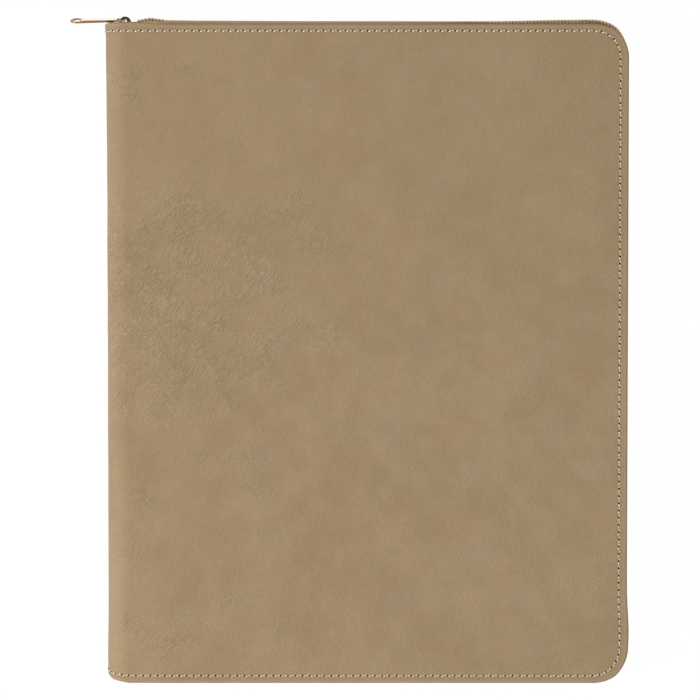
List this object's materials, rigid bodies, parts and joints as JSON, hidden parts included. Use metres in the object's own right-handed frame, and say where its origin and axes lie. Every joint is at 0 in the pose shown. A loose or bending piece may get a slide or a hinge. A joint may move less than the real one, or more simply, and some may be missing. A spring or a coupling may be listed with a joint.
{
  "type": "zippered padfolio",
  "caption": "Slim padded leather case that folds open like a book, closed by a zip round three edges, with a writing pad, pockets and a pen loop inside.",
  "frame": {"origin": "middle of the back cover's outer face, where the closed case rests", "axes": "+X from the spine to the fore edge, +Y along the cover's height to the edge with the zip pull, +Z through the thickness to the front cover"},
  "size_m": [0.2591, 0.3084, 0.022],
  "materials": {
    "leather": "light brown, fine grain, soft sheen",
    "pocket_leather": "light brown, fine grain, matte",
    "foam": "thin closed-cell padding",
    "stiffener": "grey-brown pressed board",
    "lining": "brown twill",
    "zip_tape": "brown woven tape",
    "zip_coil": "brown nylon",
    "gold_metal": "polished pale gold",
    "backing_board": "grey pad board",
    "paper": "white ruled paper",
    "binding_tape": "brown paper tape",
    "elastic": "dark brown woven elastic"
  },
  "bodies": {
    "back_cover": {"back_leather": "leather", "back_foam": "foam", "back_board": "stiffener", "back_lining": "lining", "back_zipper_tape": "zip_tape", "back_zipper_coil": "zip_coil", "back_zipper_stops": "gold_metal", "pad_sleeve": "pocket_leather", "notepad_backing": "backing_board", "notepad_sheets": "paper", "notepad_binding": "binding_tape"},
    "spine": {"spine_leather": "leather", "spine_lining": "lining", "pen_loop": "elastic"},
    "front_cover": {"front_leather": "leather", "front_foam": "foam", "front_board": "stiffener", "front_lining": "lining", "front_zipper_tape": "zip_tape", "front_zipper_coil": "zip_coil", "front_zipper_stops": "gold_metal", "document_pocket": "pocket_leather", "card_pocket_1": "pocket_leather", "card_pocket_2": "pocket_leather", "card_pocket_3": "pocket_leather"},
    "zip_slider": {"slider_body": "gold_metal", "slider_bridge": "gold_metal"},
    "zip_pull": {"pull_tab": "gold_metal"}
  },
  "joints": [
    {"name": "spine_fold", "type": "hinge", "parent": "back_cover", "child": "spine", "pos_m": [-0.11861, 0, 0.00204], "axis": [0, -1, 0], "range_deg": [0, 90]},
    {"name": "cover_fold", "type": "hinge", "parent": "spine", "child": "front_cover", "pos_m": [-0.11861, 0, 0.01996], "axis": [0, -1, 0], "range_deg": [0, 90]},
    {"name": "slider_travel", "type": "slide", "parent": "back_cover", "child": "zip_slider", "axis": [0.9999, 0.0122, 0], "range_m": [0, 0.205], "deforming": ["front_zipper_coil", "back_zipper_coil"]},
    {"name": "pull_swing", "type": "hinge", "parent": "zip_slider", "child": "zip_pull", "pos_m": [-0.1123, 0.15372, 0.011], "axis": [-0.0025, 0.2079, -0.9781], "range_deg": [0, 160]}
  ],
  "couplings": [
    {"joint": "spine_fold", "follows": "cover_fold", "ratio": 1}
  ]
}
